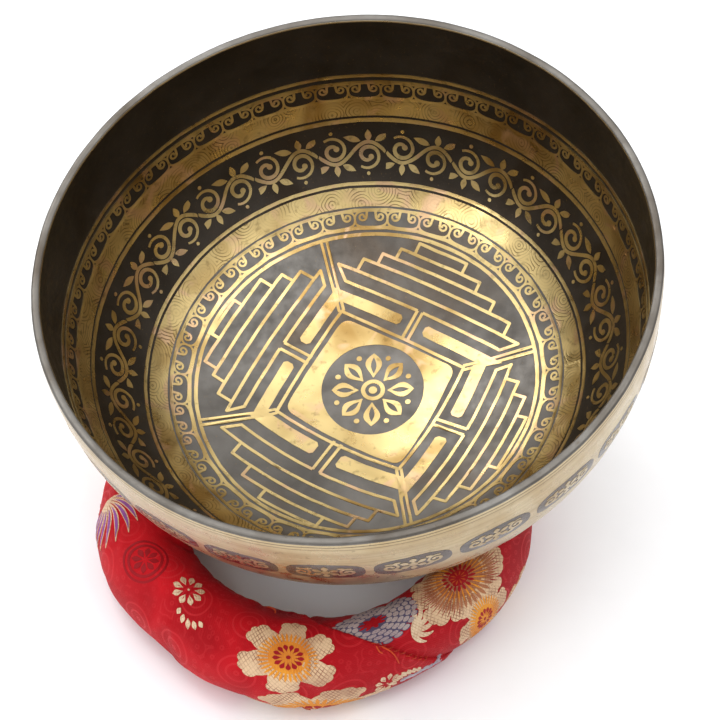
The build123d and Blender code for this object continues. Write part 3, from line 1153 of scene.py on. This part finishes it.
def lapped_end():
    """The end that is folded under and lies over the other, on a slant."""
    backs = np.concatenate((-np.linspace(LAP_WIDTH, 0.6, 26), (-0.3, -0.08)))
    rows, uvs = [], []
    for psi in np.linspace(LAP_FROM, LAP_TO, 100):
        phis = across_join(psi, backs)
        tops = lap_height(phis, np.full(len(phis), psi)) + 0.05
        tops[-2:] *= (0.86, 0.45)
        along = np.concatenate((phis, (lap_edge(psi),), phis[::-1]))
        ups = np.concatenate((tops, (-0.05,), np.full(len(phis), -0.9)))
        rows.append(on_cushion(along, psi, ups))
        uvs.append(cloth_uv(along, np.full(len(along), psi)))
    faces = tube_faces(len(rows), len(rows[0]))
    made = new_object("cushion_lapped_end", np.concatenate(rows), faces, [brocade], "cushion",
                      uv=np.concatenate(uvs), flat_edges=70)
    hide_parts("cover_lapped_end")


def thread_tubes(name, lines, radius, material, node_name):
    """Thin round threads, one closed tube for each line, as one piece."""
    sides = 8
    ring = np.radians(np.arange(sides) * 360 / sides)
    points, faces, uvs = [], [], []
    for line in lines:
        line = np.asarray(line, float)
        start = sum(len(p) for p in points)
        along = np.gradient(line, axis=0)
        along /= np.linalg.norm(along, axis=1, keepdims=True)
        side = np.cross(along, (0.3, 0.2, 1.0))
        side /= np.linalg.norm(side, axis=1, keepdims=True)
        other = np.cross(along, side)
        run = np.concatenate(([0], np.cumsum(np.linalg.norm(np.diff(line, axis=0), axis=1))))
        for k, centre in enumerate(line):
            r = radius * (0.45 if k in (0, len(line) - 1) else 1.0)
            points.append(centre + r * (np.cos(ring)[:, None] * side[k] + np.sin(ring)[:, None] * other[k]))
            uvs.append(np.stack((ring * radius, np.full(sides, run[k])), -1))
        faces += tube_faces(len(line), sides, start)
    made = new_object(name, np.concatenate(points), faces, [material], "cushion", uv=np.concatenate(uvs))
    if node_name:
        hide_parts(node_name)


def join_stitches():
    """Whip stitches over the lap's edge."""
    lines = []
    steps = np.linspace(0, 1, 9)
    for psi in np.linspace(STITCHES_FROM, STITCHES_TO, STITCH_COUNT):
        psis = psi - 4.0 * steps
        phis = across_join(psis, -1.5 + 2.4 * steps)
        up = 0.10 + 0.35 * np.sin(np.pi * steps)
        lines.append(on_cushion(phis, psis, up + lap_height(phis, psis)))
    thread_tubes("join_stitch_thread", lines, 0.2, stitch_thread, "join_stitches")


def loose_ends():
    """Ends of the sewing thread, left long beside the join."""
    lines = []
    steps = np.linspace(0, 1, 12)
    for (phi_a, psi_a), (phi_b, psi_b), bend in LOOSE_ENDS:
        phis = phi_a + (phi_b - phi_a) * steps + bend * np.sin(np.pi * steps)
        psis = psi_a + (psi_b - psi_a) * steps
        lines.append(on_cushion(phis, psis, 0.35 + 0.5 * np.sin(np.pi * steps), over_lap=True))
    thread_tubes("join_loose_ends", lines, 0.3, sewing_thread, None)


def seam_stitches():
    """The long seam low on the hole's side."""
    steps = np.linspace(0, 1, 7)
    phis = math.degrees(SEAM_STITCH / HOLE_RADIUS) * (steps - 0.5)
    up = 0.22 + 0.15 * np.sin(np.pi * steps)
    starts = 360 * np.arange(SEAM_COUNT) / SEAM_COUNT
    lines = [on_cushion(start + phis, SEAM_PSI, up, over_lap=True) for start in starts]
    thread_tubes("seam_stitch_thread", lines, 0.28, seam_thread, "seam_stitches")


# ======== the woven flowers
FLOWER_RISE, RISE_STEP = 0.20, 0.10


def woven(name, layers, colour, phi, psi, size=1.0, level=0, turn=0.0, stretch=(1, 1), cut=()):
    """A woven shape at (phi, psi), with its x along the ring and its y towards the hole.

    The layers are drawn for a size of one millimetre. cut holds loops to take away, in millimetres."""
    grown = [(keep, turned(loops, turn, stretch=np.multiply(stretch, size))) for keep, loops in layers]
    flat, tris = paint([*grown, (False, cut)], 2.0)
    per_x, per_y = math.degrees(1 / ring_radius(psi)), math.degrees(1 / MM_AROUND)

    def place(points, height):
        return on_cushion(phi + points[:, 0] * per_x, psi + points[:, 1] * per_y, height, over_lap=True)
    made = plate(name, flat, tris, place, -0.3, FLOWER_RISE + RISE_STEP * level, silk[colour], "cushion")


def flower(name, phi, psi, size, parts, stretch=(1, 1), cut=()):
    """Parts woven one over the other. Each is its name, its colour and its layers."""
    for level, (part, colour, *layers) in enumerate(parts):
        woven(f"{name}_{part}", layers, colour, phi, psi, size, level, stretch=stretch, cut=cut)


def broad_petal(angle, inner, outer, width):
    """A wide petal with three lobes at its tip."""
    length = outer - inner
    body = swollen_box(length / 2, width / 2, (inner + length / 2 - 0.04 * outer, 0), 2.5, 22)
    lobes = [disc((inner + length * 0.84, side * width * 0.27), width * 0.235, 14) for side in (-1, 1)]
    lobes.append(disc((inner + length * 0.93, 0), width * 0.20, 14))
    return turned([body, *lobes], angle)


def blossom(name, phi, psi, size, turn=0.0, stretch=(1, 1)):
    """A broad six-petalled flower with a gold eye and a ring of red seeds."""
    petals = [disc((0, 0), 0.40, 28)]
    for a in range(0, 360, 60):
        petals += broad_petal(turn + a, 0.22, 1.0, 0.64)
    fringe = [disc((0, 0), 0.42, 32), *rays(36, 0.3, 0.66, 0.055, turn + 3)]
    seeds = [*rays(13, 0.12, 0.33, 0.105, turn, 0.7), disc((0, 0), 0.05, 10)]
    parts = (("petals", "cream", (True, petals)), ("fringe", "gold", (True, fringe)),
             ("seeds", "crimson", (True, seeds)))
    flower(name, phi, psi, size, parts, stretch)


def daisy(name, phi, psi, size):
    """Nine small separate petals round an open eye."""
    turns = range(0, 360, 40)
    petals = [petal(on_ring(0.40, a), a, 0.72, 0.42, 0.62, 13) for a in turns]
    slits = [petal(on_ring(0.50, a), a + 3, 0.36, 0.06, 0.5) for a in turns]
    woven(name, [(True, petals), (False, slits), (True, [disc((0, 0), 0.08, 10)])], "ivory", phi, psi, size)


def leaf_row(name, phi, psi, size, turn, count):
    """Small leaves side by side along a bent stem."""
    leaves = [petal((0.95 * t, 0.30 * t * t), -62 + 34 * t, 0.80 - 0.22 * abs(t), 0.42, 0.5, 13)
              for t in np.linspace(-1, 1, count)]
    woven(name, [(True, leaves)], "ivory", phi, psi, size, turn=turn)


def chrysanthemum(name, phi, psi, size):
    """A large flower: lobed cream petals, then rose, a tan made darker with painted shade, gold rays and a
    dark red heart.
    """
    lobes = [disc((0, 0), 0.7, 36)]
    for i in range(9):
        lobes += broad_petal(40 * i + 12, 0.4, 1.0 if i % 2 else 0.93, 0.60)
    parts = (("lobes", "cream", (True, lobes), (False, rays(45, 0.56, 0.93, 0.022, 3))),
             ("rose", "rose", (True, [disc((0, 0), 0.50, 32), *rays(45, 0.42, 0.80, 0.065, 7)])),
             ("gold", "gold", (True, rays(30, 0.20, 0.62, 0.030, 2))),
             ("heart", "crimson", (True, [disc((0, 0), 0.20, 24), *rays(18, 0.16, 0.36, 0.06, 5)])),
             ("stamens", "orange", (True, rays(10, 0.05, 0.17, 0.028, 9))))
    flower(name, phi, psi, size, parts, (1.12, 0.80))


def fan_flower(name, phi, psi, size, cut):
    """A flower of rows of small grey scales with dark edges and a red heart."""
    base, scales = [disc((0, 0), 0.86, 40)], []
    for row, (count, radius) in enumerate(((27, 0.92), (24, 0.78), (20, 0.64), (16, 0.50), (12, 0.37))):
        for a in 360 / count * (np.arange(count) + 0.5 * (row % 2)):
            place = on_ring(radius, a)
            base.append(disc(place, 0.10, 12))
            scales += turned([swollen_box(0.064, 0.088, (0, 0), 2.4, 12)], a, shift=place)
    parts = (("edges", "slate", (True, base)), ("scales", "grey", (True, scales)))
    flower(name, phi, psi, size, parts, (1.5, 0.9), cut)
    heart = [disc((0, 0), 0.17, 18), *rays(9, 0.1, 0.28, 0.09)]
    woven(name + "_heart", [(True, heart)], "crimson", phi, psi, size, 2, stretch=(1.7, 0.8), cut=cut)


def leaf_spray(name, phi, psi, size, turn, count=6):
    """Curved leaves fanning out from one foot."""
    leaves = []
    for i in range(count):
        line = points_on_arc((0, 0), 0.75 - 0.05 * abs(i - count / 2), 200, 290, 14)
        leaf = ribbon(line - line[0], (0.05, 0.20, 0.16, 0.04))
        leaves += turned([leaf], 27 * (i - (count - 1) / 2))
    woven(name, [(True, leaves)], "ivory", phi, psi, size, turn=turn)


def feather_spray(name, phi, psi, size, turn, mirror=1):
    """Nine long hooked petals, purple with cream backs, drawn in millimetres."""
    backs, fronts = [], []
    t = np.linspace(0, 1, 18)
    for i in range(9):
        a = turn + mirror * (52 - 17 * i)
        reach = size * (1.0 - 0.055 * abs(i - 2))
        line = np.stack((t * reach * (1 - 0.12 * t * t), -mirror * 0.62 * reach * t ** 2.6), -1)
        backs += turned([ribbon(line, (0.5, 1.0, 2.0, 2.6, 2.2, 0.4))], a)
        fronts += turned([ribbon(line[5:-1] - (0, mirror * 0.15), (0.2, 1.0, 1.6, 1.4, 0.2))], a)
    flower(name, phi, psi, 1.0, (("cream", "ivory", (True, backs)), ("purple", "purple", (True, fronts))))


def scale_row(name, phi, psi, size, count):
    """A short row of overlapping scales."""
    scales = [disc((0.3 * i - 0.15 * count, 0.05 * math.sin(2.1 * i)), 0.19, 16) for i in range(count)]
    gaps = [ribbon(points_on_arc(scale.mean(0), 0.11, 20, 160, 9), 0.035) for scale in scales]
    woven(name, [(True, scales), (False, gaps)], "silver", phi, psi, size)


def medallion(name, phi, psi, size):
    """Plain rings of the cloth's own red, with a small eight-petalled flower."""
    layers = [(True, [disc((0, 0), 1.0, 48)]), (False, [disc((0, 0), 0.90, 48)]),
              (True, [disc((0, 0), 0.78, 40)]), (False, [disc((0, 0), 0.66, 40)]),
              (True, rays(8, 0.12, 0.60, 0.24))]
    woven(name, layers, "damask", phi, psi, size, -1)


def beyond_join(phi, psi):
    """A shape that covers all to the left of the lap's edge, in a motif's own millimetres."""
    reach, far_left = 60.0, -200.0
    edge = []
    for y in (-reach, reach):
        there = lap_edge(psi + math.degrees(y / MM_AROUND))
        edge.append((math.radians(there - phi) * ring_radius(psi) + 0.4, y))
    return [np.array((*edge, (far_left, reach), (far_left, -reach)))]


cushion_cover()
lapped_end()
join_stitches()
loose_ends()
seam_stitches()

blossom("flower_front", -95.4, 61, 19.2, 26, stretch=(1.0, 0.84))
blossom("flower_low", -87.0, -37, 22.5, 8, stretch=(1.32, 0.72))
blossom("flower_small_right", -36.0, 7, 17.5, 5, stretch=(0.9, 1.0))
blossom("flower_low_right", -18.0, -34, 13.0, 10)
daisy("daisy_front", -131.2, 90, 6.6)
daisy("daisy_low", -69.0, -6, 5.5)
leaf_row("leaves_front", -125.6, 60, 5.4, 4, 5)
medallion("medallion_left", -148.5, 75, 10.5)
chrysanthemum("chrysanthemum_right", -37.6, 81, 22.5)
fan_flower("flower_blue", -70.0, 90, 13.5, cut=beyond_join(-70.0, 90))
leaf_spray("leaves_right", -60.0, 60, 11.5, 30)
feather_spray("feathers_left", -174.5, 42, 23.0, 42)
feather_spray("feathers_left_low", -182.0, -20, 18.0, -60, -1)
scale_row("scales_front", -57.5, -14, 9.0, 8)
leaf_row("leaves_low", -63.5, -6, 6.0, 185, 7)
for n, phi in enumerate((10, 62, 113, 159)):
    blossom(f"flower_back_{n + 1}", phi, (48, 22, 55, 15)[n], (18, 20, 17, 17)[n], 25 * n)
for n, phi in enumerate((36, 88, 136)):
    chrysanthemum(f"chrysanthemum_back_{n + 1}", phi, (20, 66, 28)[n], (14, 16, 14)[n])
    daisy(f"daisy_back_{n + 1}", phi + 13, (88, -14, 88)[n], 6.0)


# ======== camera, light and floor
CAMERA_FROM_RING = (15.85, -447.94, 589.18)
CAMERA_RIGHT, CAMERA_UP = Vector((0.99894, 0.03329, 0.03158)), Vector((-0.04588, 0.72475, 0.68748))
CAMERA_LENS, SENSOR = 82.7, 36.0
SKY_LOW, SKY_MIDDLE, SKY_HIGH, SKY_STRENGTH = 0.20, 0.56, 1.0, 1.55
FLOOR_REACH = 15000.0


def camera():
    data = bpy.data.cameras.new("camera")
    data.lens = CAMERA_LENS
    data.sensor_width = SENSOR
    data.clip_start = 0.01
    right = CAMERA_RIGHT.normalized()
    back = right.cross(CAMERA_UP).normalized()
    up = back.cross(right)
    place = Vector((ring_middle + CAMERA_FROM_RING) * MM)
    made = in_scene("camera", data)
    made.matrix_world = Matrix.Translation(place) @ Matrix((right, up, back)).transposed().to_4x4()
    bpy.context.scene.camera = made


def area_light(name, place, target, size, power):
    data = bpy.data.lights.new(name, "AREA")
    data.shape = "DISK"
    data.size = size
    data.energy = power
    made = in_scene(name, data)
    made.location = place
    made.rotation_euler = (Vector(target) - Vector(place)).to_track_quat("-Z", "Y").to_euler()


def surroundings():
    """Pale floor and a white room."""
    shader = Shader("floor_white", (0.94, 0.945, 0.96), 0.7)
    grain = shader.spots(60, 3, (0.3, (0.93, 0.94, 0.965)), (0.7, (0.945, 0.955, 0.98)))
    shader.put(grain, shader.inputs["Base Color"])
    corners = np.array(((-1, -1, 0), (1, -1, 0), (1, 1, 0), (-1, 1, 0))) * FLOOR_REACH
    floor = new_object("floor", corners, [(0, 1, 2, 3)], [shader.material], None)
    world = bpy.data.worlds.new("studio")
    bpy.context.scene.world = world
    world.use_nodes = True
    room = Graph(world.node_tree)
    split = room.node("ShaderNodeSeparateXYZ")
    room.put(room.node("ShaderNodeTexCoord").outputs["Generated"], split.inputs[0])
    sky = room.ramp(split.outputs["Z"], ((0.0, SKY_LOW), (0.45, SKY_MIDDLE), (1.0, SKY_HIGH)))
    background = room.nodes["Background"].inputs
    room.put(sky, background["Color"])
    room.put(SKY_STRENGTH, background["Strength"])
    area_light("light_back", (-0.72, 0.58, 1.15), (0, 0, 0.08), 0.8, 5.5)
    area_light("light_top", (0.15, -0.04, 1.3), (0, 0, 0.08), 0.8, 3)
    area_light("light_left", (-1.2, -0.8, 1.0), (0, 0, 0.05), 0.7, 4.5)
    bpy.context.scene.view_settings.view_transform = "Standard"


camera()
surroundings()
